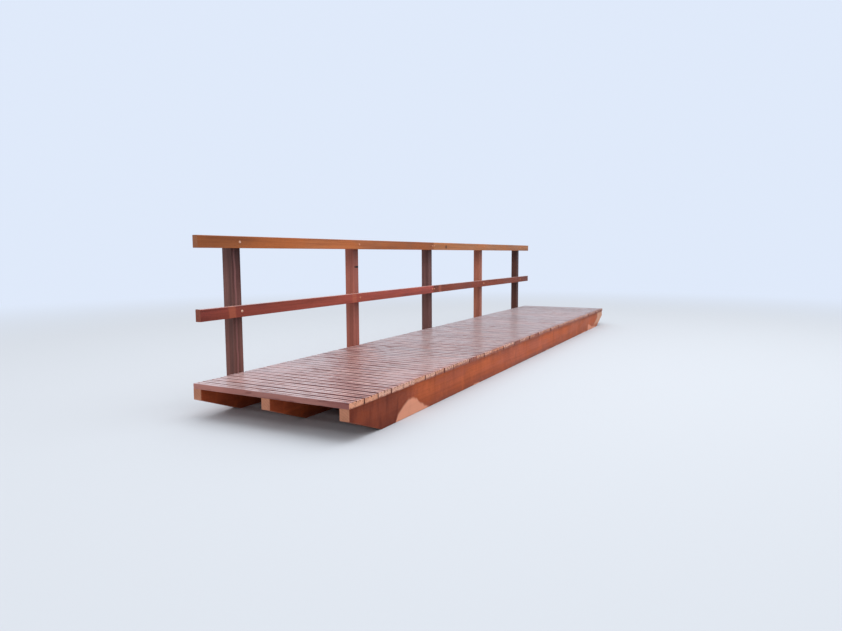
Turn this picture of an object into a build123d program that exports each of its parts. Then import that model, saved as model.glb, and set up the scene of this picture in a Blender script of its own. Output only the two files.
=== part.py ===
from build123d import *
import math
import os

# Timber footbridge of one span, with grooved planks across three beams and a railing along one side.
# Millimetres. X runs along the bridge from its near end to its far end, +Y points to the railing
# side and +Z points up. The origin is on the underside of the middle beam, half way along it.

# Beams: planks of timber on edge, with their ends cut back underneath
bridge_length = 7000
frame_width = 1275  # across the outer faces of the two side beams
beam_width = 70
beam_depth = 210
nose_height = 75  # upright part of a beam's end, above the slanted cut
cutback_length = 360  # how far the slanted cut reaches under the beam
beam_arris = 3

# Cross pieces: short timbers that keep the beams upright and apart
cross_width = 70
cross_depth = 150
cross_end_inset = 620  # centre of an outer row, from the end of the beams

# Deck planks
plank_width = 150
plank_thickness = 36
least_plank_gap = 9  # the gaps grow a little from this, until whole planks fill the length
plank_overhang = 5  # past the outer face of the open-side beam
plank_to_post = 3  # between the ends of the planks and the posts
plank_stagger = 4  # the planks' ends are out of line by up to this
plank_arris = 2.5
planks_per_node = 2

# Grooves milled along the top of each plank, the middle one wider than the two beside it
middle_groove_width = 12
middle_groove_depth = 6
side_groove_width = 6
side_groove_depth = 4
groove_spacing = 38

# Railing: square posts bolted to the outside of the beam, and two rails on their inner faces
post_count = 5
post_width = 90
first_post_inset = 436  # from the near end of the deck to the middle of the first post
last_post_inset = 364  # from the far end of the deck to the middle of the last post
post_foot_height = 10  # foot of a post above the underside of the beam
post_top_fall = 14  # slope of a post's top, down and outwards
rail_thickness = 45
rail_depth = 86
railing_height = 1000  # top of the top rail above the deck
mid_rail_height = 500  # top of the lower rail above the deck
rail_overrun = 390  # past the middle of the first post and of the last
rail_joint_gap = 2  # between the two lengths of each rail, on the middle post
rail_arris = 3

# Recesses in the posts' outer faces, for the nuts of the bolts that hold the beam and the rails
bolt_recess_width = 34
bolt_recess_depth = 16
foot_bolt_spacing = 100  # the two bolts in a post's foot, one above the other
joint_bolt_inset = 22  # from the middle of the joint in a rail to the bolt beside it

half_length = bridge_length / 2
beam_outer_y = frame_width / 2
deck_top = beam_depth + plank_thickness
rail_tops = {"top_rail": deck_top + railing_height, "lower_rail": deck_top + mid_rail_height}
foot_bolt_heights = [beam_depth / 2 + side * foot_bolt_spacing / 2 for side in (-1, 1)]
rail_bolt_heights = [top - rail_depth / 2 for top in rail_tops.values()]
beam_middles = {
    "open_side_beam": -beam_outer_y + beam_width / 2,
    "middle_beam": 0,
    "rail_side_beam": beam_outer_y - beam_width / 2,
}


def timber(length, width, depth, arris):
    """Straight timber along X, centred on it, on its bottom face, with its four long arrises eased."""
    stick = Box(length, width, depth, align=(Align.CENTER, Align.CENTER, Align.MIN))
    return chamfer(stick.edges().filter_by(Axis.X), arris)


def beam():
    """Beam on edge along X: each end has an upright nose at the top and a slanted cut under it."""
    nose_bottom = beam_depth - nose_height
    outline = Polyline(
        (-half_length, beam_depth),
        (-half_length, nose_bottom),
        (-half_length + cutback_length, 0),
        (half_length - cutback_length, 0),
        (half_length, nose_bottom),
        (half_length, beam_depth),
        close=True,
    )
    blank = extrude(make_face(Plane.XZ * outline), amount=beam_width / 2, both=True)
    return chamfer(blank.edges().filter_by(Axis.Y, reverse=True), beam_arris)


def groove(width, depth):
    """Section of a milled groove, with sloping sides, cut down from the top of a plank."""
    return Polygon(
        (-width / 2, plank_thickness),
        (-width / 3, plank_thickness - depth),
        (width / 3, plank_thickness - depth),
        (width / 2, plank_thickness),
        align=None,
    )


def plank():
    """Plank across the bridge, its railing end at Y = 0, its underside at Z = 0."""
    section = Rectangle(plank_width, plank_thickness, align=(Align.CENTER, Align.MIN))
    section = chamfer(section.vertices().group_by(Axis.Y)[-1], plank_arris)
    section -= groove(middle_groove_width, middle_groove_depth)
    for side in (-1, 1):
        section -= Pos(side * groove_spacing, 0) * groove(side_groove_width, side_groove_depth)
    plank_length = frame_width + plank_overhang - plank_to_post
    return extrude(Plane.XZ * section, amount=plank_length)


def post(rail_bolt_offsets):
    """Post with its inner face at Y = 0 and its top sloped to shed water, bored for its bolts' nuts.

    rail_bolt_offsets says how far along X from the post's middle each rail's bolts are.
    """
    side = Polyline(
        (0, post_foot_height),
        (post_width, post_foot_height),
        (post_width, deck_top + railing_height - post_top_fall),
        (0, deck_top + railing_height),
        close=True,
    )
    blank = extrude(make_face(Plane.YZ * side), amount=post_width / 2, both=True)
    stick = chamfer(blank.edges().filter_by(Axis.Z), rail_arris)
    bolts = [(0, z) for z in foot_bolt_heights]
    bolts += [(x, z) for x in rail_bolt_offsets for z in rail_bolt_heights]
    recess = Cylinder(bolt_recess_width / 2, bolt_recess_depth, rotation=(90, 0, 0))
    for x, z in bolts:
        stick -= Pos(x, post_width - bolt_recess_depth / 2, z) * recess
    return stick


def spread(first, last, count):
    """Evenly spaced places from first to last."""
    return [first + (last - first) * step / (count - 1) for step in range(count)]


parts = {}

# The three beams, side by side
for name, y in beam_middles.items():
    parts[name] = Pos(0, y, 0) * beam()

# Three rows of cross pieces, one in each space between the beams, flush with their tops
cross_length = frame_width / 2 - beam_width * 1.5
cross_y = (cross_length + beam_width) / 2
row_places = spread(-half_length + cross_end_inset, half_length - cross_end_inset, 3)
for row, x in enumerate(row_places):
    for bay, side in enumerate((-1, 1)):
        block = Box(cross_width, cross_length, cross_depth, align=(Align.CENTER, Align.CENTER, Align.MAX))
        parts[f"cross_piece_{2 * row + bay + 1}"] = Pos(x, side * cross_y, beam_depth) * block

# The deck: whole planks laid from end to end, with their ends a little out of line
plank_count = math.floor((bridge_length + least_plank_gap) / (plank_width + least_plank_gap))
plank_places = spread(-half_length + plank_width / 2, half_length - plank_width / 2, plank_count)
board = plank()
stagger_steps = 5
for first in range(0, plank_count, planks_per_node):
    laid = []
    for number in range(first, min(first + planks_per_node, plank_count)):
        shift = plank_stagger * (3 * number % stagger_steps) / (stagger_steps - 1)
        rail_end_y = beam_outer_y - plank_to_post - shift
        laid.append(Pos(plank_places[number], rail_end_y, beam_depth) * board)
    parts[f"deck_planks_{first // planks_per_node + 1:02d}"] = Compound(children=laid)

# The posts, against the outer face of the railing-side beam, the middle one bolted to four rail ends
post_places = spread(-half_length + first_post_inset, half_length - last_post_inset, post_count)
joint_post = post_count // 2
for index, x in enumerate(post_places):
    offsets = (-joint_bolt_inset, joint_bolt_inset) if index == joint_post else (0,)
    parts[f"post_{index + 1}"] = Pos(x, beam_outer_y, 0) * post(offsets)

# The two rails, against the posts' inner faces, each in two lengths that meet on the middle post
for name, top in rail_tops.items():
    lengths = []
    for side, outer_post in ((-1, post_places[0]), (1, post_places[-1])):
        free_end = outer_post + side * rail_overrun
        joint_end = post_places[joint_post] + side * rail_joint_gap / 2
        stick = timber(abs(free_end - joint_end), rail_thickness, rail_depth, rail_arris)
        middle = (free_end + joint_end) / 2
        lengths.append(Pos(middle, beam_outer_y - rail_thickness / 2, top - rail_depth) * stick)
    parts[name] = Compound(children=lengths)

os.makedirs("parts", exist_ok=True)
for name, shape in parts.items():
    export_step(shape, f"parts/{name}.step")
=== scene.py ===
import bmesh
import bpy
import math
import random
from mathutils import Matrix, Vector


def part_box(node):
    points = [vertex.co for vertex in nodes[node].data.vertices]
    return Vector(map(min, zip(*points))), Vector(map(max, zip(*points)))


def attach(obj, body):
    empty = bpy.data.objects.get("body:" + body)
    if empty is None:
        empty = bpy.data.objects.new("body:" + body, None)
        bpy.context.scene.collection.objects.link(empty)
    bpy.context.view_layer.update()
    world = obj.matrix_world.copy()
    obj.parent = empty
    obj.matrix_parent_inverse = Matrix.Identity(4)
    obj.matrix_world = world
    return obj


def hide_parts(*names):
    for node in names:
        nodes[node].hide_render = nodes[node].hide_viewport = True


# A timber footbridge of one span, new and wet from rain: three beams on edge, grooved planks laid
# across them, and a railing of posts and two rails along one side.
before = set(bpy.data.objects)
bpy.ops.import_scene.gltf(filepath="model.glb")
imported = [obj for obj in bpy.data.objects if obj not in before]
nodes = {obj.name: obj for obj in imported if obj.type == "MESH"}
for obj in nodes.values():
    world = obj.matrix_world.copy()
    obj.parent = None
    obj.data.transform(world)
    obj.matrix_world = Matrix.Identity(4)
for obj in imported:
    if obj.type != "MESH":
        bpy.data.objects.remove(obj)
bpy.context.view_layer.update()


# Beams
# Three planed planks of red-brown tropical hardwood, stood on edge from end to end, with their
# ends cut back underneath. The open side's beam is the one that shows, with rain marks down its
# face and paler wood where it was handled near both ends.

class Wire:
    """A socket of a material's nodes. Arithmetic on wires adds the Math nodes for it."""

    def __init__(self, tree, socket=None):
        self.tree = tree
        self.socket = socket

    def node(self, kind, settings, sockets, result=0):
        """Add a node: its settings first, then the values or wires of its sockets."""
        made = self.tree.nodes.new(kind)
        for name, value in settings.items():
            if name == "stops":
                made.color_ramp.elements.remove(made.color_ramp.elements[-1])
                made.color_ramp.elements[0].position = value[0][0]
                for spot, height in value[1:]:
                    made.color_ramp.elements.new(spot)
                for stop, (spot, height) in zip(made.color_ramp.elements, value):
                    stop.color = (height, height, height, 1)
            else:
                setattr(made, name, value)
        for name, value in sockets.items():
            if isinstance(value, Wire):
                self.tree.links.new(value.socket, made.inputs[name])
            else:
                made.inputs[name].default_value = value
        return Wire(self.tree, made.outputs[result] if made.outputs else None)

    def math(self, operation, *values, clamp=False):
        settings = {"operation": operation, "use_clamp": clamp}
        return self.node("ShaderNodeMath", settings, dict(enumerate(values)))

    def __add__(self, other):
        return self.math("ADD", self, other)

    def __sub__(self, other):
        return self.math("SUBTRACT", self, other)

    def __rsub__(self, other):
        return self.math("SUBTRACT", other, self)

    def __mul__(self, other):
        return self.math("MULTIPLY", self, other)

    def __truediv__(self, other):
        return self.math("DIVIDE", self, other)

    def __abs__(self):
        return self.math("ABSOLUTE", self)

    __radd__ = __add__
    __rmul__ = __mul__

    def limited(self):
        """This wire, held between 0 and 1."""
        return self.math("ADD", self, 0.0, clamp=True)

    def rise(self, low, high):
        """0 below low and 1 above high, with a smooth slope between; high may be the lower one."""
        settings = {"interpolation_type": "SMOOTHSTEP"}
        return self.node("ShaderNodeMapRange", settings, {0: self, 1: low, 2: high})

    def span(self, places):
        """0 outside the outer two of four places and 1 between the inner two, with smooth slopes."""
        return self.rise(places[0], places[1]) * self.rise(places[3], places[2])

    def blend(self, low, high):
        """From the colour low to the colour high, as this wire goes from 0 to 1."""
        settings = {"data_type": "RGBA"}
        return self.node("ShaderNodeMix", settings, {0: self, 6: low, 7: high}, result=2)

    def part(self, axis):
        """One of the three numbers of this place or direction."""
        return self.node("ShaderNodeSeparateXYZ", {}, {0: self}, result=axis)

    def shaded(self, share):
        """This colour, so many times as light."""
        return self.node("ShaderNodeVectorMath", {"operation": "SCALE"}, {0: self, "Scale": share})

    def follow(self, stops):
        """The height of a line through the stops, pairs of place and height, where this wire is."""
        left, right = stops[0][0], stops[-1][0]
        tallest = max(height for spot, height in stops)
        ramp = [((spot - left) / (right - left), height / tallest) for spot, height in stops]
        share = (self - left) / (right - left)
        return self.node("ShaderNodeValToRGB", {"stops": ramp}, {0: share}) * tallest


def tint(red, green, blue):
    """The colour of a paint chip, given in screen values, as light."""
    chip = [value / 255 for value in (red, green, blue)]
    return [value / 12.92 if value < 0.04 else ((value + 0.055) / 1.055) ** 2.4 for value in chip] + [1]


def noise(place, along, across, detail=2.0, roughness=0.5):
    """Cloudy noise drawn out along the grain, with so many clouds a metre each way."""
    settings = {"operation": "MULTIPLY"}
    stretched = place.node("ShaderNodeVectorMath", settings, {0: place, 1: (along, across, across)})
    sockets = {"Vector": stretched, "Scale": 1.0, "Detail": detail, "Roughness": roughness}
    return place.node("ShaderNodeTexNoise", {}, sockets)


def survey(sheet, along, middle=(0, 0, 0)):
    """Wires for a timber: its place in metres along, across and through it, and how its faces turn."""
    order = {"X": "XYZ", "Y": "YXZ", "Z": "ZXY"}[along]
    spot = sheet.node("ShaderNodeTexCoord", {}, {}, result="Object")
    facing = sheet.node("ShaderNodeTexCoord", {}, {}, result="Normal")
    ways = {index: spot.part(axis) - middle["XYZ".index(axis)] for index, axis in enumerate(order)}
    sides = [abs(facing.part(axis)) for axis in order[1:]]
    return {
        "place": sheet.node("ShaderNodeCombineXYZ", {}, ways),
        "cut_across": abs(facing.part(along)),
        "arris": (sides[0] * sides[1]).rise(0.15, 0.4),
        "up": facing.part(2).rise(0.4, 0.9),
        "near_side": (0 - facing.part(1)).rise(0.2, 0.6),
        "far_side": facing.part(1).rise(0.2, 0.6),
    }


def heartwood(place, away, log_offset=(0.02, 0.09), rings=95.0, coarse=16.0):
    """Figure of sawn hardwood: wires for tone, growth lines, pores and patches, each from 0 to 1.

    away moves the pattern to wood of its own; coarse is how many broad bands lie in a metre.
    """
    moved = place.node("ShaderNodeVectorMath", {"operation": "ADD"}, {0: place, 1: away})
    bands = noise(moved, 0.7, coarse, 3.0)
    streaks = noise(moved, 1.7, 75.0, 4.0, 0.6)
    hairs = noise(moved, 9.0, 420.0, 2.0)
    tone = (bands * 0.5 + streaks * 0.35 + hairs * 0.15).rise(0.30, 0.70)
    wander = noise(moved, 1.1, 3.5, 2.0)
    across = place.part(1) - log_offset[0] + wander * 0.05 - 0.025
    through = place.part(2) - log_offset[1] + wander * 0.08
    radius = place.math("SQRT", across * across + through * through)
    waves = place.math("SINE", radius * (rings * 2 * math.pi)) * 0.5 + 0.5
    lines = waves.rise(0.55, 1.0)
    pores = noise(moved, 55.0, 1500.0, 1.0).rise(0.60, 0.72)
    patches = noise(moved, 1.6, 7.0, 2.0).rise(0.40, 0.62)
    return {"tone": tone, "lines": lines, "pores": pores, "patches": patches, "moved": moved}


def wood_colour(figure, dark, light, warm):
    """Heartwood from dark to light along its bands, warmer in patches, with dark lines and pores."""
    colour = figure["tone"].blend(dark, light)
    colour = (figure["patches"] * 0.45).blend(colour, warm)
    deep = [value * 0.45 for value in dark[:3]] + [1]
    colour = (figure["lines"] * 0.20).blend(colour, dark)
    return (figure["pores"] * 0.45).blend(colour, deep)


def sawn_end(colour, figure, cut_across, tone, deep, mottle=0.2):
    """Colour where the timber is cut across: end grain in its own tone, ringed and speckled."""
    speckle = noise(figure["moved"], 1.0, 700.0, 1.0).rise(0.42, 0.6)
    cloud = noise(figure["moved"], 1.0, 15.0, 3.0, 0.5).rise(0.38, 0.66)
    end = (speckle * 0.16 + cloud * mottle + figure["lines"] * 0.2).blend(tone, deep)
    return cut_across.rise(0.25, 0.75).blend(colour, end)


def finish_timber(sheet, colour, roughness, rain, relief, depth, shine=0.12, film=0.28, haze=0.0,
                  bare=None):
    """Close a timber's material: its colour, its sheen, the film of rain on it and its relief.

    depth is how deep the relief is, in metres; film is how rough the rain's film is; bare is a wire
    that is 1 where neither rain nor haze lies on the wood.
    """
    bump = sheet.node("ShaderNodeBump", {}, {"Strength": 1.0, "Distance": depth, "Height": relief})
    sockets = {
        "Base Color": colour,
        "Roughness": roughness,
        "Specular IOR Level": shine,
        "Coat Weight": rain,
        "Coat IOR": 1.9,
        "Coat Roughness": film,
        "Sheen Weight": haze,
        "Sheen Roughness": 0.35,
        "Sheen Tint": (0.82, 0.90, 1.0, 1),
        "Normal": bump,
    }
    shader = sheet.node("ShaderNodeBsdfPrincipled", {}, sockets)
    if bare:
        wood_only = ("Base Color", "Roughness", "Specular IOR Level", "Normal")
        under = sheet.node("ShaderNodeBsdfPrincipled", {}, {name: sockets[name] for name in wood_only})
        shader = sheet.node("ShaderNodeMixShader", {}, {0: bare, 1: shader, 2: under})
    sheet.node("ShaderNodeOutputMaterial", {}, {"Surface": shader})


def new_material(name):
    """A material without nodes yet, and a wire on which to build them."""
    made = bpy.data.materials.new(name)
    made.use_nodes = True
    made.node_tree.nodes.clear()
    return made, Wire(made.node_tree)


def paint_node(name, material):
    """Give a solid of the frame its finish."""
    mesh = nodes[name].data
    mesh.materials.clear()
    mesh.materials.append(material)


def face_relief(figure):
    """Height of a planed face, from 0 to 1: open pores and slightly raised bands."""
    return figure["tone"] * 0.35 - figure["pores"] * 0.5 - figure["lines"] * 0.12 + 0.5


beam_dark = tint(163, 78, 48)
beam_light = tint(197, 100, 65)
beam_warm = tint(209, 108, 61)
end_tone = tint(196, 136, 110)
end_deep = tint(130, 80, 60)
rubbed_wood = tint(238, 165, 136)
planed_edge = tint(214, 160, 128)
planed_nose = tint(224, 178, 150)
# A dark brown for the rain's damp marks, and for the painted shade low on the beams
damp_and_shade_wood = tint(92, 30, 15)
deck_shade = tint(84, 42, 32)
foot_shade_wood = tint(120, 76, 68)

# Gaps between the planks, out of which the rain runs down the beams
first_gap = (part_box("deck_planks_01")[1].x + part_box("deck_planks_02")[0].x) / 2
plank_pitch = (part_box("deck_planks_02")[0].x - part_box("deck_planks_01")[0].x) / 2

# How light the beams are along the bridge, and how strong the deck's shade on them is
beam_stretches = [(-3.5, 1.00), (-2.5, 0.96), (-0.72, 1.00), (-0.68, 1.06), (0.5, 1.05), (1.5, 0.95),
                  (2.0, 0.86), (2.35, 0.87), (2.7, 0.93), (3.5, 0.90)]
deck_shades = [(-3.5, 0.0), (-1.8, 0.05), (-1.4, 0.30), (1.0, 0.27), (1.3, 0.60), (2.2, 0.72),
               (2.6, 0.92), (3.5, 1.0)]
shade_reach = 0.050  # how far down a beam the deck's shade goes
lower_shade_line = (0.110, 0.070)  # heights at which the painted shade over a beam's lower half starts and is full
foot_shade_line = (0.055, 0.010)  # and those of the stronger painted shade at its foot

# Marks on the open side's beam: outlines of the two rubbed ones, in metres along and up the beam,
# and stretches where its lower edge is scraped
near_rub = [(-2.97, 0.0), (-2.93, 0.052), (-2.86, 0.090), (-2.785, 0.122), (-2.73, 0.120),
            (-2.675, 0.106), (-2.63, 0.074), (-2.59, 0.050), (-2.54, 0.026), (-2.48, 0.0)]
far_rub = [(2.53, 0.0), (2.55, 0.084), (2.60, 0.088), (2.68, 0.066), (2.80, 0.034),
           (2.95, 0.026), (3.14, 0.0)]
scraped_edges = [(-1.67, -1.50), (0.45, 0.60), (0.85, 0.95), (2.15, 2.45), (2.80, 2.95)]
scrape_height = 0.012

# Its two ends: the near one soaked, the far one pale for some way from the slanted cut under it
soaked_end = (-2.50, -2.98)  # where the soaked wood starts, and where it is full
nose_bottom = 0.135  # height at which the slanted cut starts
cutback = 0.36  # how far along the beam it goes
planed_reach = 0.33


def rubbed(x, z, outline):
    """1 inside a pale mark that rises from the beam's bottom edge to its outline."""
    left, right = outline[0][0], outline[-1][0]
    return (x.follow(outline) - z).rise(-0.010, 0.014) * x.span((left, left + 0.01, right - 0.01, right))


def weathered(colour, place, top, ragged, drips):
    """A beam's colour with drips, the deck's shade, painted shade over its lower half and foot, and what
    runs out of the gaps.
    """
    x, z = place.part(0), place.part(2)
    colour = (drips * (z.rise(0.0, top) * 0.12 + 0.06)).blend(colour, damp_and_shade_wood)
    under_deck = z.rise(top - shade_reach, top - 0.005) * x.follow(deck_shades)
    colour = under_deck.blend(colour, deck_shade)
    # Painted shade from below: the lower half of the beam darker, its foot darker still
    lower_shade, foot_shade = z.rise(*lower_shade_line), z.rise(*foot_shade_line)
    colour = (lower_shade * (x.rise(-0.9, -1.5) * 0.12 + 0.15)).blend(colour, damp_and_shade_wood)
    colour = (foot_shade * (x.rise(-1.0, -0.4) * 0.40 + 0.30)).blend(colour, foot_shade_wood)
    phase = (x + ragged * 0.006 - first_gap) / plank_pitch + 0.5
    from_gap = abs(phase.math("FRACT", phase) - 0.5) * plank_pitch
    run = noise(place, 3.0, 0.1).rise(0.40, 0.72) * 0.15 + 0.012
    below_gap = from_gap.rise(0.016, 0.002) * (z - top + run).rise(0.0, 0.05)
    return (below_gap * (x.rise(-1.2, -2.4) * 0.08 + 0.05)).blend(colour, damp_and_shade_wood)


def open_side_marks(colour, stick, figure, high, ragged, drips):
    """The open side's beam with its soaked end, rubbed marks, scraped edge and planed nose."""
    x, z = stick["place"].part(0), stick["place"].part(2)
    damp_and_shade = (x + ragged * 0.3).rise(*soaked_end) * (drips * 0.3 + 0.7)
    colour = (damp_and_shade * 0.88).blend(colour, damp_and_shade_wood)
    for outline, share in ((near_rub, 1.0), (far_rub, 0.84)):
        pale = rubbed(x + ragged * 0.03, z + ragged * 0.02, outline)
        pale = pale * (0.98 - figure["tone"] * 0.16 - drips * 0.06) * share
        colour = (pale * stick["near_side"]).blend(colour, rubbed_wood)
    for left, right in scraped_edges:
        edge = (scrape_height + ragged * 0.02 - z).rise(-0.002, 0.004)
        scraped = x.span((left, left + 0.03, right - 0.05, right)) * edge
        colour = (scraped * 0.8).blend(colour, rubbed_wood)
    cut_edge = high.x - (1 - z / nose_bottom).limited() * cutback
    beside_cut = (cut_edge - x + ragged * 0.06).rise(planed_reach + 0.03, planed_reach - 0.03)
    pale_end = beside_cut * z.span((0.01, 0.08, high.z - 0.02, high.z))
    return (pale_end * stick["near_side"] * 0.7).blend(colour, planed_nose)


for number, name in enumerate(("open_side_beam", "middle_beam", "rail_side_beam")):
    low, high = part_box(name)
    timber, sheet = new_material(f"{name}_timber")
    stick = survey(sheet, "X", (0, low.y, 0))
    place = stick["place"]
    away = (62.9 + 37 * number, 18.7, 39.1)
    figure = heartwood(place, away, log_offset=(0.16, 0.02), rings=60.0, coarse=9.0)
    colour = wood_colour(figure, beam_dark, beam_light, beam_warm)
    ragged = noise(place, 30.0, 30.0, 3.0, 0.6) - 0.5
    drips = noise(place, 11.0, 2.6, 4.0, 0.6).rise(0.44, 0.70)
    colour = weathered(colour, place, high.z, ragged, drips)
    x = place.part(0)
    glow = noise(place, 12.0, 9.0, 3.0, 0.6).rise(0.52, 0.70)
    colour = (glow * 0.35 + x.rise(0.4, 2.0) * 0.4).limited().blend(colour, beam_warm)
    clouds = noise(place, 7.0, 1.8, 3.0, 0.6).rise(0.30, 0.70)
    colour = colour.shaded(x.follow(beam_stretches) * (clouds * 0.18 + 0.92))
    if name == "open_side_beam":
        colour = open_side_marks(colour, stick, figure, high, ragged, drips)
    worn = noise(place, 5.0, 5.0, 3.0).rise(0.45, 0.65)
    colour = (stick["arris"] * (worn * 0.5 + 0.1)).blend(colour, planed_edge)
    colour = sawn_end(colour, figure, stick["cut_across"], end_tone, end_deep)
    roughness = figure["patches"] * 0.12 + 0.5
    finish_timber(sheet, colour, roughness, stick["up"] * 0.8, face_relief(figure), 0.0005)
    paint_node(name, timber)


# Cross pieces
# Six short timbers between the beams, of the same wood, sawn square and left rough. They keep the
# beams upright and are hidden under the deck.

cross_dark = tint(104, 56, 44)
cross_light = tint(160, 92, 70)
cross_warm = tint(168, 98, 68)

for number in range(1, 7):
    name = f"cross_piece_{number}"
    low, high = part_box(name)
    timber, sheet = new_material(f"{name}_timber")
    place = survey(sheet, "Y", (low + high) / 2)["place"]
    figure = heartwood(place, (11.3 * number, 4.1, 27.9), log_offset=(0.05, -0.12))
    colour = wood_colour(figure, cross_dark, cross_light, cross_warm)
    saw_marks = noise(place, 320.0, 6.0, 1.0)
    relief = face_relief(figure) + saw_marks * 0.5
    roughness = figure["patches"] * 0.1 + 0.6
    finish_timber(sheet, colour, roughness, 0.0, relief, 0.0008)
    paint_node(name, timber)


# Deck planks
# Forty-four planks of the same hardwood, milled with one wide groove and two narrow ones for grip,
# laid with a finger's gap between them. Rain lies on them as a thin film that shines. Along one
# slanting streak near the near end the film is thinner and the wood is painted darker, a painted
# reflection of dark surroundings.

plank_width = 0.150
plank_thickness = 0.036
plank_half_length = 0.6405
plank_middle = -0.006  # middle of the planks' length, across the bridge
plank_arris = 0.0025
groove_spacing = 0.038
side_groove = (0.006, 0.004)  # width and depth
middle_groove = (0.012, 0.006)
grooves = {-groove_spacing: side_groove, 0.0: middle_groove, groove_spacing: side_groove}
grooves_reach = 0.047  # from a plank's middle to just past its outer grooves
plank_bays = 12  # pieces along a plank, between which it may bend
plank_random = random.Random(14)
beam_lines = [sum(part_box(name), Vector()).y / 2 for name in
              ("open_side_beam", "middle_beam", "rail_side_beam")]
screw_inset = 0.018  # from the side of a plank to the middle of its screws
screw_spots = []
tolerance = 1e-6  # places closer together than this count as one

plank_dark = tint(126, 73, 68)
plank_light = tint(208, 150, 141)
plank_warm = tint(210, 134, 120)
plank_end_pink = tint(238, 182, 158)
plank_end_tan = tint(226, 162, 131)
plank_end_orange = tint(218, 142, 106)
plank_end_red = tint(166, 88, 64)
end_shade = tint(150, 72, 46)
groove_dirt_and_shade = tint(46, 24, 20)
damp_and_shade_plank = tint(92, 44, 42)
ridge_highlight_colour = tint(250, 214, 206)
dark_reflection_plank = tint(160, 78, 78)
screw_stain = tint(70, 36, 34)

# Along the bridge: how light the planks' wood and their ends are, how much rain lies on the deck,
# and where an end is dark
light_stretches = [(-3.5, 0.83), (-2.2, 0.90), (-1.2, 0.93), (1.2, 0.93), (2.2, 0.85), (3.5, 0.62)]
end_stretches = [(-3.5, 1.2), (-3.3, 1.2), (-3.1, 1.0), (-2.1, 1.12), (-1.8, 1.35), (-0.8, 1.35),
                 (-0.5, 1.18), (2.5, 1.18), (2.7, 0.94), (3.1, 0.90), (3.5, 0.82)]
wet_stretches = [(-3.5, 0.46), (-2.6, 0.52), (-1.2, 0.88), (0.8, 0.96), (2.0, 0.74), (3.5, 0.40)]
dark_ends = (-1.67, -0.56, 0.08)

# The streak painted darker as a painted dark reflection: where it crosses the middle line of the
# bridge, and how far it goes along the bridge for each metre across it
streak_middle = -2.5
streak_slope = 1.5


def grooved_board(length, thickness):
    """One plank across the bridge, centred on the origin with its underside on Z = 0."""
    board = bmesh.new()
    bmesh.ops.create_cube(board, size=1.0)
    bmesh.ops.scale(board, vec=(plank_width, length, thickness), verts=board.verts)
    bmesh.ops.translate(board, vec=(0, 0, thickness / 2), verts=board.verts)

    def cut(spot, way):
        whole = board.verts[:] + board.edges[:] + board.faces[:]
        bmesh.ops.bisect_plane(board, geom=whole, plane_co=spot, plane_no=way, dist=tolerance)

    for middle, (width, depth) in grooves.items():
        for share in (-1 / 2, -1 / 3, 1 / 3, 1 / 2):
            cut((middle + share * width, 0, 0), (1, 0, 0))
        floor = [
            vertex for vertex in board.verts
            if vertex.co.z > thickness - tolerance and abs(vertex.co.x - middle) < width * 0.4
        ]
        bmesh.ops.translate(board, vec=(0, 0, -depth), verts=floor)
    side, top = plank_width / 2 - tolerance, thickness - tolerance
    top_arrises = [
        edge for edge in board.edges
        if all(abs(vertex.co.x) > side and vertex.co.z > top for vertex in edge.verts)
    ]
    bmesh.ops.bevel(
        board, geom=top_arrises, offset=plank_arris, offset_type="OFFSET",
        segments=3, profile=0.5, affect="EDGES", material=-1,
    )
    for step in range(1, plank_bays):
        cut((0, length * (step / plank_bays - 0.5), 0), (0, 1, 0))
    board.verts.ensure_lookup_table()
    return board


def warped(warp, across, along):
    """How far a plank's top has moved up: across goes from -1 to 1, along from 0 to 1."""
    bay = min(int(along * plank_bays + tolerance), plank_bays - 1)
    share = along * plank_bays - bay
    bend = warp["bend"][bay] * (1 - share) + warp["bend"][bay + 1] * share
    return warp["cup"] * (1 - across * across) + warp["lean"] * across - warp["sink"] + bend


def join(whole, shape, seat):
    """Move a shape to its seat and make it part of a whole."""
    bmesh.ops.transform(shape, matrix=seat, verts=shape.verts)
    loose = bpy.data.meshes.new("loose_shape")
    shape.to_mesh(loose)
    shape.free()
    whole.from_mesh(loose)
    bpy.data.meshes.remove(loose)


def lay_plank(deck, low, high):
    """Put one plank into the deck between two corners, a little bent and with its own draw of wood."""
    length = high.y - low.y
    thickness = high.z - low.z
    middle = Vector(((low.x + high.x) / 2, (low.y + high.y) / 2, low.z))
    board = grooved_board(length, thickness)
    place_layer = board.verts.layers.float_vector.new("plank_place")
    draw_layer = board.verts.layers.float_vector.new("plank_draw")
    draw = Vector([plank_random.random() for _ in range(3)])
    warp = {
        "cup": plank_random.uniform(-0.0007, 0.0004),
        "lean": plank_random.uniform(-0.0005, 0.0005),
        "sink": plank_random.uniform(0.0002, 0.0010),
        "bend": [plank_random.uniform(-0.0004, 0.0004) for _ in range(plank_bays + 1)],
    }
    skew = [plank_random.uniform(-0.0022, 0.0022) for _ in range(2)]
    for vertex in board.verts:
        spot = vertex.co
        vertex[place_layer] = (spot.y + middle.y, spot.x, spot.z)
        vertex[draw_layer] = draw
        across = spot.x / (plank_width / 2)
        along = spot.y / length + 0.5
        if spot.z > thickness / 2:
            spot.z += warped(warp, across, along)
        end = 1 if spot.y > 0 else 0
        if abs(along - end) < tolerance:
            spot.y -= (abs(skew[end]) + skew[end] * across) * (1 if end else -1)
    join(deck, board, Matrix.Translation(middle))
    for line in beam_lines:
        for side in (-1, 1):
            across = side * (1 - screw_inset / (plank_width / 2))
            top = high.z + warped(warp, across, (line - low.y) / length)
            screw_spots.append(Vector((middle.x + across * plank_width / 2, line, top)))


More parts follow.
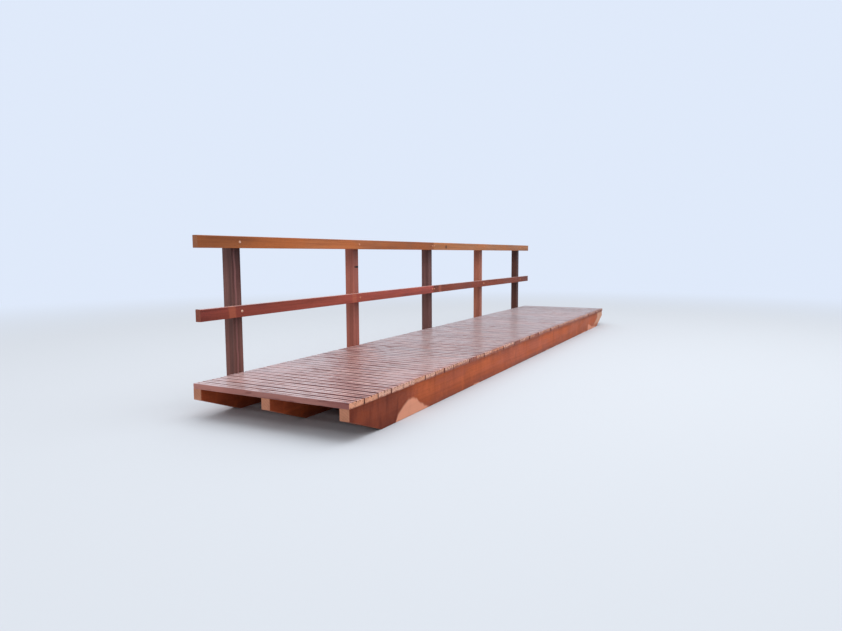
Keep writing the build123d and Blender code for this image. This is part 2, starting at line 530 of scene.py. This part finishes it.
def add_piece(name, shape, material, replaced=()):
    """Show a finished shape as a piece that rides with the bridge."""
    mesh = bpy.data.meshes.new(name)
    bmesh.ops.recalc_face_normals(shape, faces=shape.faces)
    shape.to_mesh(mesh)
    shape.free()
    mesh.materials.append(material)
    piece = bpy.data.objects.new(name, mesh)
    bpy.context.scene.collection.objects.link(piece)
    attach(piece, "root")
    if replaced:
        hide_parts(*replaced)
    return piece


def plank_end_tone(draw, bridge_x):
    """Colour of the planks' sawn ends: by each plank's draw of wood, and by place along the bridge."""
    tone = draw.part(2).rise(0.25, 0.5).blend(plank_end_pink, plank_end_tan)
    tone = draw.part(2).rise(0.6, 0.75).blend(tone, plank_end_orange)
    tone = draw.part(2).rise(0.91, 0.95).blend(tone, plank_end_red)
    tone = (bridge_x.span((-0.4, 0.4, 2.0, 2.4)) * 0.5).blend(tone, plank_end_orange)
    tone = (bridge_x.rise(2.2, 2.8) * 0.6).blend(tone, plank_end_pink)
    for spot in dark_ends:
        tone = abs(bridge_x - spot).rise(0.085, 0.070).blend(tone, plank_end_red)
    return tone.shaded(bridge_x.follow(end_stretches))


plank_timber, sheet = new_material("wet_plank_timber")
place = sheet.node("ShaderNodeAttribute", {"attribute_name": "plank_place"}, {}, "Vector")
draw = sheet.node("ShaderNodeAttribute", {"attribute_name": "plank_draw"}, {}, "Vector")
facing = sheet.node("ShaderNodeTexCoord", {}, {}, "Normal")
bridge_x = sheet.node("ShaderNodeTexCoord", {}, {}, "Object").part(0)
along, across, height = (place.part(axis) for axis in range(3))
from_end = plank_half_length - abs(along - plank_middle)
facing_up = facing.part(2).rise(0.3, 0.8)
end_face = abs(facing.part(1)).rise(0.5, 0.9)
farther = bridge_x.rise(-2.6, -1.4)  # 0 at the near end only
midway = bridge_x.span((-2.1, -1.5, 0.6, 2.0))  # 1 on the middle planks

# The wood of each plank, from its own draw
away = sheet.node("ShaderNodeVectorMath", {"operation": "MULTIPLY"}, {0: draw, 1: (330, 95, 210)})
figure = heartwood(place, away, log_offset=(0.01, 0.11), rings=80.0)
colour = wood_colour(figure, plank_dark, plank_light, plank_warm)
colour = (draw.part(1) * 0.5).blend(colour, plank_dark)
colour = (bridge_x.rise(-1.6, -3.3) * 0.35).blend(colour, plank_warm)

# The streak painted darker as a painted dark reflection, and two corners that are lighter
uneven = noise(figure["moved"], 5.0, 26.0, 2.0).rise(0.32, 0.68)
from_streak = abs(bridge_x - along * streak_slope - streak_middle + (uneven - 0.5) * 0.25)
dark_reflection = from_streak.rise(0.45, 0.10)
# Two corners that are lighter, with fainter dark lines and dashes
far_corner = bridge_x.rise(-2.2, -2.7) * along.rise(0.20, 0.42)
near_corner = bridge_x.span((-2.95, -2.70, -2.1, -1.6)) * along.rise(-0.30, -0.42)
paler_corners = far_corner + near_corner
# Painted dark reflection along the streak: its wood painted darker
colour = (dark_reflection * 0.45).blend(colour, dark_reflection_plank)
colour = colour.shaded(bridge_x.follow(light_stretches) * (1 - dark_reflection * 0.15 + paler_corners * 0.12))

# Lines along the middle groove and the sides painted darker as painted shade, painted highlights on the
# ridges between them, damp dashes
to_shaded_line = sheet.math("MINIMUM", abs(across), plank_width / 2 - abs(across))
damp_and_shade = (uneven * 0.65 + 0.35 + dark_reflection * 0.25 + midway * 0.22 - paler_corners * 0.4).limited()
damp_and_shade = damp_and_shade * to_shaded_line.rise(0.017, 0.007) * (facing_up * 0.8 + 0.2)
ridge_highlight = to_shaded_line.span((0.012, 0.018, 0.023, 0.032)) * (1 - uneven * 0.7)
dashes = noise(figure["moved"], 9.0, 60.0, 2.0).rise(0.56, 0.66) * (1 - paler_corners * 0.6)
# Painted highlight on the ridges between the lines, then the dashes, then painted shade along the lines
colour = (ridge_highlight * (dark_reflection * 0.3 + midway * 0.2 + 0.60)).blend(colour, ridge_highlight_colour)
colour = (dashes * 0.55).blend(colour, damp_and_shade_plank)
colour = (damp_and_shade * 0.86).blend(colour, damp_and_shade_plank)

# Dirt and painted shade in the grooves and in the gaps between planks, less of it near the planks' ends
below_top = (plank_thickness - 0.0008 - height).rise(0.0, 0.0015)
in_groove = below_top * (grooves_reach - abs(across)).rise(0.0, 0.002) * facing.part(2).rise(0.02, 0.1)
between = (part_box("middle_beam")[1].x - 0.004 - abs(bridge_x)).rise(0.0, 0.002)
on_side = (abs(across) - plank_width / 2 + plank_arris).rise(0.0, 0.0010)
in_gap = below_top * on_side * between * (from_end.rise(0.0, 0.03) * 0.6 + 0.4)
dirt_and_shade_in_grooves = in_groove * (from_end.rise(0.0, 0.04) * 0.55 + 0.45)
colour = (dirt_and_shade_in_grooves * 0.95).blend(colour, groove_dirt_and_shade)
colour = (in_gap * 0.8).blend(colour, groove_dirt_and_shade)

# Stains round the screws
to_line = sheet.math("MINIMUM", abs(along), abs(abs(along) - beam_lines[2]))
to_row = abs(across) - (plank_width / 2 - screw_inset)
from_screw = sheet.math("SQRT", to_line * to_line + to_row * to_row)
colour = (from_screw.rise(0.011, 0.005) * 0.6).blend(colour, screw_stain)

# The sawn ends, with chips and ticks, a lower edge darkened as damp and painted shade, and drips under
# the grooves
end_colour = plank_end_tone(draw, bridge_x)
mottle = draw.part(0) * 0.30 + 0.02
colour = sawn_end(colour, figure, abs(facing.part(1)), end_colour, end_deep, mottle)
chips = noise(figure["moved"], 60.0, 60.0, 2.0).rise(0.54, 0.66)
ticks = noise(figure["moved"], 9.0, 38.0, 1.0).rise(0.53, 0.60) * farther
colour = ((chips * 0.45 + ticks * 0.55) * end_face).blend(colour, deck_shade)
low_edge = (height + (uneven - 0.5) * 0.008 + bridge_x.rise(-1.8, -3.3) * 0.012).rise(0.023, 0.010)
colour = (low_edge * end_face * 0.95).blend(colour, end_shade)
to_groove = sheet.math("MINIMUM", abs(across), abs(abs(across) - groove_spacing))
run_down = noise(figure["moved"], 1.0, 45.0, 2.0).rise(0.35, 0.70) * 0.016 + 0.005 + farther * 0.009
groove_drip = to_groove.rise(0.009, 0.002) * (height - plank_thickness + run_down).rise(0.0, 0.004)
colour = (groove_drip * end_face * (farther * 0.4 + 0.45)).blend(colour, damp_and_shade_plank)

# The film of rain, and the parts of a plank that are bare of it
puddles = noise(figure["moved"], 3.0, 34.0, 3.0, 0.6).rise(0.38, 0.60)
on_top = facing_up * (1 - in_groove)
thick = bridge_x.follow(wet_stretches) * (1 - draw.part(0) * 0.22) * (1 - dark_reflection * 0.85)
rain = on_top * (puddles * 0.3 + 0.7) * thick
worn_spots = noise(figure["moved"], 4.5, 6.0, 2.0).rise(0.50, 0.64)
open_edge = from_end.rise(0.065, 0.022) * 0.70 + from_end.rise(0.022, 0.004) * 0.45
open_edge = open_edge * (0 - along).rise(0.0, 0.1) * (uneven * 0.5 + 0.75)
bare = dark_reflection * (bridge_x.rise(-2.7, -2.2) * 0.18 + 0.70)
bare = bare + damp_and_shade * 0.95 + dashes * 0.6 + worn_spots * 0.22 + open_edge
bare = (bare + in_groove + end_face).limited()

roughness = 0.42 - puddles * 0.16 + (damp_and_shade + dashes) * 0.2 + in_groove * 0.3 + (1 - on_top) * 0.2
swell = noise(figure["moved"], 3.0, 40.0, 3.0, 0.6)
relief = face_relief(figure) * 0.3 + swell * 0.8
finish_timber(sheet, colour, roughness, rain, relief, 0.0010, shine=0.5, film=0.21, haze=0.90, bare=bare)

plank_nodes = sorted(name for name in nodes if name.startswith("deck_planks_"))
for name in plank_nodes:
    low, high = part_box(name)
    deck = bmesh.new()
    for left in (low.x, high.x - plank_width):
        right = left + plank_width
        ends = [v.co.y for v in nodes[name].data.vertices if left - 0.001 < v.co.x < right + 0.001]
        lay_plank(deck, Vector((left, min(ends), low.z)), Vector((right, max(ends), high.z)))
    number = name.rsplit("_", 1)[1]
    planks = add_piece(f"grooved_planks_{number}", deck, plank_timber, [name])
    eased = planks.modifiers.new("eased_edges", "BEVEL")
    eased.limit_method = "ANGLE"
    eased.angle_limit = math.radians(40)
    eased.width = 0.0006
    eased.segments = 1


# Deck screws
# Stainless screws with flat countersunk heads, driven level with the planks' tops: two in each
# plank over each beam.

head_radius = 0.0048
head_proud = 0.0003
head_depth = 0.0014
socket_depth = 0.0007
screw_random = random.Random(5)


def steel(name, bright, dull, rough):
    """Bare metal with a cloudy bloom on it, between two shades and about so rough."""
    made, sheet = new_material(name)
    spot = sheet.node("ShaderNodeTexCoord", {}, {}, "Object")
    bloom = noise(spot, 140.0, 140.0, 3.0, 0.6).rise(0.3, 0.7)
    scuffs = noise(spot, 900.0, 900.0, 2.0)
    bump = sheet.node("ShaderNodeBump", {}, {"Strength": 0.6, "Distance": 0.0001, "Height": scuffs})
    sockets = {
        "Base Color": bloom.blend(bright, dull),
        "Metallic": 1.0,
        "Roughness": bloom * 0.18 + rough,
        "Normal": bump,
    }
    shader = sheet.node("ShaderNodeBsdfPrincipled", {}, sockets)
    sheet.node("ShaderNodeOutputMaterial", {}, {"Surface": shader})
    return made


def screw_head():
    """One head, its top on Z = 0, with a square socket for the driver."""
    head = bmesh.new()
    bmesh.ops.create_cone(
        head, cap_ends=True, segments=12, radius1=head_radius * 0.8, radius2=head_radius,
        depth=head_depth, matrix=Matrix.Translation((0, 0, -head_depth / 2)),
    )
    top = [face for face in head.faces if face.normal.z > 0.9]
    bmesh.ops.inset_individual(head, faces=top, thickness=head_radius * 0.12, depth=0.0)
    bmesh.ops.inset_individual(head, faces=top, thickness=head_radius * 0.40, depth=0.0)
    bmesh.ops.inset_individual(head, faces=top, thickness=head_radius * 0.06, depth=-socket_depth)
    return head


screw_steel = steel("screw_steel", tint(214, 214, 212), tint(170, 166, 162), 0.30)
for line, side in zip(beam_lines, ("open_side", "middle", "rail_side")):
    screws = bmesh.new()
    for spot in [spot for spot in screw_spots if abs(spot.y - line) < 0.001]:
        turn = Matrix.Rotation(screw_random.uniform(0, math.tau), 4, "Z")
        join(screws, screw_head(), Matrix.Translation(spot + Vector((0, 0, head_proud))) @ turn)
    add_piece(f"deck_screws_{side}", screws, screw_steel)


# Posts
# Five square posts of the same hardwood, bolted to the outside of the beam. Each is from another
# log: some purple-brown and soaked, some red. Their tops slope outwards to shed the rain, and
# below the rails they are painted darker, as painted shade.

post_tones = {
    "post_1": (tint(93, 63, 58), tint(136, 95, 89), tint(126, 82, 73)),
    "post_2": (tint(138, 79, 67), tint(184, 114, 101), tint(180, 106, 86)),
    "post_3": (tint(81, 54, 52), tint(128, 91, 87), tint(113, 76, 71)),
    "post_4": (tint(129, 74, 62), tint(187, 122, 100), tint(181, 112, 88)),
    "post_5": (tint(63, 39, 35), tint(103, 68, 60), tint(97, 61, 51)),
}
post_end_tone = tint(128, 90, 76)
post_end_deep = tint(84, 56, 48)
pale_streak = tint(148, 102, 100)
dark_streak = tint(58, 24, 28)
knot_wood = tint(34, 20, 18)
rail_shade_reach = 0.26  # how far below a rail the painted shade on a post reaches
rail_shade_shares = {"top_rail": 0.40, "lower_rail": 0.26}  # how much darker the painted shade makes it there

# Marks on the faces of the first two posts: how dark one half of the first is, by height, its own
# darker wood with painted shade under the top rail added higher up; how far its pale streak lies
# from the middle; the second's knot, by height and by distance from the middle
dark_half_and_shade = [(0.0, 0.06), (0.60, 0.12), (0.80, 0.28), (0.95, 0.58), (1.25, 0.64)]
streak_aside = -0.014
post_knot = (0.993, 0.030)

for number, (name, (dark, light, warm)) in enumerate(post_tones.items()):
    low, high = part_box(name)
    timber, sheet = new_material(f"{name}_timber")
    stick = survey(sheet, "Z", (low + high) / 2)
    place = stick["place"]
    away = (21.3 * number, 7.9, 31.0)
    figure = heartwood(place, away, log_offset=(0.07, -0.05), rings=85.0, coarse=20.0)
    colour = wood_colour(figure, dark, light, warm)
    height, over = place.part(0) + (low.z + high.z) / 2, place.part(1)
    wave = noise(place, 3.0, 0.5, 2.0) * 0.05 - 0.025
    if name == "post_1":
        # Half of the first post's face darker: partly its wood, partly painted shade under the top rail
        dark_half = (over + wave).rise(-0.050, -0.032) * height.follow(dark_half_and_shade)
        colour = (dark_half * stick["near_side"]).blend(colour, dark_streak)
        streak = abs(over + wave - streak_aside).rise(0.013, 0.003)
        colour = (streak * stick["near_side"] * 0.7).blend(colour, pale_streak)
    if name == "post_2":
        up, aside = height - post_knot[0], over - post_knot[1]
        knot = sheet.math("SQRT", up * up * 20.0 + aside * aside * 0.6).rise(0.052, 0.036)
        colour = (knot * stick["near_side"] * 0.95).blend(colour, knot_wood)
    if name in ("post_4", "post_5"):
        pale_half = (over + wave).rise(-0.01, 0.03) * stick["near_side"]
        colour = (pale_half * 0.5).blend(colour, light)
    # Painted shade on each post below the rails, on all faces but the back
    for rail, share in rail_shade_shares.items():
        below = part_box(rail)[0].z - height
        damp_and_shade = below.span((-0.002, 0.002, 0.02, rail_shade_reach)) * (1 - stick["far_side"])
        colour = colour.shaded(1.015 - damp_and_shade * share)
    colour = (stick["arris"] * 0.35).blend(colour, light)
    colour = sawn_end(colour, figure, stick["cut_across"], post_end_tone, post_end_deep)
    roughness = figure["patches"] * 0.12 + 0.45
    finish_timber(sheet, colour, roughness, stick["up"] * 0.7, face_relief(figure), 0.0006)
    paint_node(name, timber)


# Rails
# A top rail and a lower rail of planed hardwood on the posts' inner faces, each in two lengths
# that meet on the middle post. The top rail is the more orange and has one small knot; the lower
# one is the redder and has pale marks beside the first three posts.

rail_tones = {
    "top_rail": [
        (tint(139, 78, 45), tint(188, 115, 68), tint(189, 105, 55)),
        (tint(151, 96, 58), tint(199, 132, 84), tint(199, 122, 72)),
    ],
    "lower_rail": [
        (tint(119, 55, 48), tint(181, 88, 77), tint(179, 91, 70)),
        (tint(106, 49, 35), tint(153, 77, 53), tint(151, 72, 47)),
    ],
}
rail_stretches = {  # how light a rail is along the bridge, from one end of it to the other
    "top_rail": [(-3.454, 0.86), (-3.0, 0.94), (-2.1, 1.22), (-1.4, 1.22), (-0.7, 1.02), (0.03, 0.84),
                 (0.04, 1.08), (1.5, 1.10), (2.0, 0.96), (3.526, 0.94)],
    "lower_rail": [(-3.454, 0.70), (-2.8, 0.70), (-1.3, 1.15), (0.03, 1.35), (0.04, 0.78),
                   (0.9, 1.25), (1.6, 1.12), (3.526, 0.76)],
}
rail_end_tones = {
    "top_rail": (tint(164, 104, 72), tint(112, 66, 46)),
    "lower_rail": (tint(150, 84, 66), tint(100, 50, 42)),
}
pale_mark = tint(190, 108, 80)
knot_brown = tint(70, 34, 22)
# Pale colour painted on the rails' top faces as a painted highlight, and how much of it each rail gets
top_highlight_colour = tint(236, 200, 188)
top_highlight_shares = {"top_rail": 0.05, "lower_rail": 0.45}
pale_marks = [(-3.205, -3.115), (-1.655, -1.565), (0.16, 0.25)]  # on the lower rail
rail_knot = (0.375, -0.007)  # along the bridge, and up from the middle of the top rail
rail_joint = sum(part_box("post_3"), Vector()).x / 2

for number, (name, tones) in enumerate(rail_tones.items()):
    low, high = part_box(name)
    timber, sheet = new_material(f"{name}_timber")
    stick = survey(sheet, "X", (low + high) / 2)
    place = stick["place"]
    x = place.part(0) + (low.x + high.x) / 2
    far_length = sheet.math("GREATER_THAN", x, rail_joint)
    away = sheet.node("ShaderNodeCombineXYZ", {}, {0: far_length * 53.0 + 3.7, 1: 6.1 * number, 2: 9.0})
    figure = heartwood(place, away, log_offset=(0.0, 0.06))
    near, far = [wood_colour(figure, *tone) for tone in tones]
    colour = far_length.blend(near, far)
    colour = colour.shaded(x.follow(rail_stretches[name]))
    if name == "lower_rail":
        ragged_x = x + (noise(place, 20.0, 20.0) - 0.5) * 0.03
        for left, right in pale_marks:
            marked = ragged_x.span((left, left + 0.020, right - 0.020, right))
            colour = (marked * stick["near_side"] * 0.45).blend(colour, pale_mark)
    if name == "top_rail":
        aside, up = x - rail_knot[0], place.part(2) - rail_knot[1]
        knot = sheet.math("SQRT", aside * aside * 1.5 + up * up).rise(0.028, 0.016)
        colour = (knot * stick["near_side"] * 0.95).blend(colour, knot_brown)
    colour = (stick["arris"] * 0.35).blend(colour, tones[0][1])
    # Painted highlight: the top faces painted paler, strongly on the lower rail
    colour = (stick["up"] * top_highlight_shares[name]).blend(colour, top_highlight_colour)
    colour = sawn_end(colour, figure, stick["cut_across"], *rail_end_tones[name])
    roughness = figure["patches"] * 0.10 + 0.42
    finish_timber(sheet, colour, roughness, stick["up"], face_relief(figure), 0.0005, film=0.12)
    paint_node(name, timber)


# Bolts
# Galvanised steel, stained brown past the first post. A coach bolt with a domed head goes through
# each rail and post to a washer and nut in the post's outer face, two where a rail's lengths meet.
# Two coach screws hold a post's foot to the beam.

shank_radius = 0.005
shank_chamfer = 0.001
# Outline of a domed head, from its top to its rim: radius and height of each corner
dome = [(0.0, 0.0052), (0.0035, 0.0050), (0.007, 0.0038), (0.0095, 0.0016), (0.0105, 0.0)]
recess_depth = 0.016
washer_thickness = 0.0025
rail_washer = 0.024  # width
foot_washer = 0.028
nut_width = 0.017
nut_height = 0.008
thread_end = 0.003  # how far a bolt stands out of its nut
joint_bolt_inset = 0.022
foot_screw_length = 0.115
foot_screw_heights = (0.055, 0.155)
to_deck = Matrix.Rotation(math.radians(90), 4, "X")
to_back = Matrix.Rotation(math.radians(-90), 4, "X")


def turned(outline, closed=False):
    """A round shape about Z, turned from the radius and the height of each corner of its outline."""
    shape = bmesh.new()
    corners = [shape.verts.new((radius, 0, height)) for radius, height in outline]
    edges = [shape.edges.new(pair) for pair in zip(corners, corners[1:])]
    if closed:
        edges.append(shape.edges.new((corners[-1], corners[0])))
    bmesh.ops.spin(
        shape, geom=corners + edges, cent=(0, 0, 0), axis=(0, 0, 1), angle=math.tau, steps=24,
        use_merge=True,
    )
    bmesh.ops.remove_doubles(shape, verts=shape.verts, dist=tolerance)
    return shape


def shank(length):
    """Outline of a round shank that goes down from Z = 0 and ends in a small chamfer."""
    tip = shank_radius - shank_chamfer
    return [(shank_radius, 0.0), (shank_radius, -length + shank_chamfer), (tip, -length), (0.0, -length)]


def washer(width):
    inner, outer = shank_radius + 0.0003, width / 2
    return turned([(inner, 0), (outer, 0), (outer, washer_thickness), (inner, washer_thickness)], True)


def six_sided(height):
    """A nut or a screw's head, standing on Z = 0, with its corners eased."""
    block = bmesh.new()
    across_corners = nut_width / math.cos(math.radians(30))
    bmesh.ops.create_cone(
        block, cap_ends=True, segments=6, radius1=across_corners / 2, radius2=across_corners / 2,
        depth=height, matrix=Matrix.Translation((0, 0, height / 2)),
    )
    bmesh.ops.bevel(
        block, geom=block.edges[:], offset=0.0007, offset_type="OFFSET", segments=2, profile=0.5,
        affect="EDGES", material=-1,
    )
    return block


bolt_steel = steel("bolt_steel", tint(246, 204, 176), tint(206, 160, 134), 0.36)
stained_steel = steel("stained_steel", tint(238, 170, 132), tint(188, 124, 96), 0.42)
on_washer = Matrix.Translation((0, 0, washer_thickness))
for number in range(1, 6):
    low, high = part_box(f"post_{number}")
    middle, back = (low.x + high.x) / 2, high.y - recess_depth
    metal = bolt_steel if number == 1 else stained_steel
    places = (-joint_bolt_inset, joint_bolt_inset) if number == 3 else (0,)
    bolts = bmesh.new()
    for rail in ("top_rail", "lower_rail"):
        rail_low, rail_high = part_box(rail)
        length = back - rail_low.y + washer_thickness + nut_height + thread_end
        for offset in places:
            spot = Vector((middle + offset, rail_low.y, (rail_low.z + rail_high.z) / 2))
            join(bolts, turned(dome + shank(length)), Matrix.Translation(spot) @ to_deck)
            spot.y = back
            seat = Matrix.Translation(spot) @ to_back
            join(bolts, washer(rail_washer), seat)
            join(bolts, six_sided(nut_height), seat @ on_washer)
    add_piece(f"rail_bolts_{number}", bolts, metal)
    screws = bmesh.new()
    for height in foot_screw_heights:
        seat = Matrix.Translation((middle, back, height)) @ to_back
        join(screws, washer(foot_washer), seat)
        join(screws, six_sided(nut_height), seat @ on_washer)
        join(screws, turned([(0.0, 0.0)] + shank(foot_screw_length)), seat @ on_washer)
    add_piece(f"foot_screws_{number}", screws, metal)


# Floor, light and camera
# A plain pale studio: a wide floor that fades into the background, even light all round and one
# large soft lamp. The camera stands beside the near end of the bridge, at the photograph's angle.

backdrop = (0.74, 0.82, 0.96, 1)
floor_tone = (0.62, 0.66, 0.72, 1)
floor_bounce = (0.46, 0.46, 0.47, 1)  # what the floor throws back at the bridge
fade_start = 5.0  # where the floor starts to turn into the backdrop, from the middle of the bridge
fade_end = 13.0


def seen_itself(sheet):
    """1 for a ray that shows a thing itself, and 0 for one that only carries its light."""
    rays = ("Camera", "Glossy", "Transmission")
    return sum(sheet.node("ShaderNodeLightPath", {}, {}, f"Is {ray} Ray") for ray in rays).limited()


floor_shape = bmesh.new()
bmesh.ops.create_grid(floor_shape, x_segments=1, y_segments=1, size=60.0)
floor_mesh = bpy.data.meshes.new("studio_floor")
floor_shape.to_mesh(floor_mesh)
floor_shape.free()
floor = bpy.data.objects.new("studio_floor", floor_mesh)
bpy.context.scene.collection.objects.link(floor)
floor_finish, sheet = new_material("studio_floor")
tone = seen_itself(sheet).blend(floor_bounce, floor_tone)
spot = sheet.node("ShaderNodeTexCoord", {}, {}, "Object")
distance = sheet.node("ShaderNodeVectorMath", {"operation": "LENGTH"}, {0: spot}, "Value")
plain = sheet.node("ShaderNodeBsdfDiffuse", {}, {"Color": tone})
glow = sheet.node("ShaderNodeEmission", {}, {"Color": backdrop, "Strength": 1.0})
share = distance.rise(fade_start, fade_end)
fade = sheet.node("ShaderNodeMixShader", {}, {0: share, 1: plain, 2: glow})
sheet.node("ShaderNodeOutputMaterial", {}, {"Surface": fade})
floor_mesh.materials.append(floor_finish)

world = bpy.data.worlds.new("studio")
bpy.context.scene.world = world
world.use_nodes = True
world.node_tree.nodes.clear()
sky = Wire(world.node_tree)
overhead = sky.node("ShaderNodeTexCoord", {}, {}, "Generated").part(2).limited()
strength = overhead * 0.45 + 0.72
even_light = sky.node("ShaderNodeBackground", {}, {"Color": (1, 1, 1, 1), "Strength": strength})
background = sky.node("ShaderNodeBackground", {}, {"Color": backdrop, "Strength": 1.0})
both = sky.node("ShaderNodeMixShader", {}, {0: seen_itself(sky), 1: even_light, 2: background})
sky.node("ShaderNodeOutputWorld", {}, {"Surface": both})

lamp = bpy.data.lights.new("soft_lamp", "AREA")
lamp.shape = "RECTANGLE"
lamp.size = 9.0
lamp.size_y = 5.0
lamp.energy = 180.0
lamp_stand = bpy.data.objects.new("soft_lamp", lamp)
lamp_stand.location = (-1.0, -2.0, 6.5)
lamp_aim = Vector((0, 0, 0.3))
lamp_stand.rotation_euler = (lamp_aim - lamp_stand.location).to_track_quat("-Z", "Y").to_euler()
bpy.context.scene.collection.objects.link(lamp_stand)

eye = Vector((-6.4039, -2.6575, 1.1076))
turn = 0.48815  # radians from the bridge's length towards the railing
dip = 0.09879  # radians below level
roll = -0.00516  # radians about the line of sight
ahead = Vector((math.cos(turn) * math.cos(dip), math.sin(turn) * math.cos(dip), -math.sin(dip)))
level = Vector((math.sin(turn), -math.cos(turn), 0))
above = level.cross(ahead)
right = level * math.cos(roll) + above * math.sin(roll)
top = above * math.cos(roll) - level * math.sin(roll)
camera_data = bpy.data.cameras.new("camera")
camera_data.lens = 26.325
camera_data.sensor_width = 36.0
camera = bpy.data.objects.new("camera", camera_data)
bpy.context.scene.collection.objects.link(camera)
camera.matrix_world = Matrix.Translation(eye) @ Matrix((right, top, -ahead)).transposed().to_4x4()
bpy.context.scene.camera = camera
bpy.context.scene.view_settings.view_transform = "Standard"
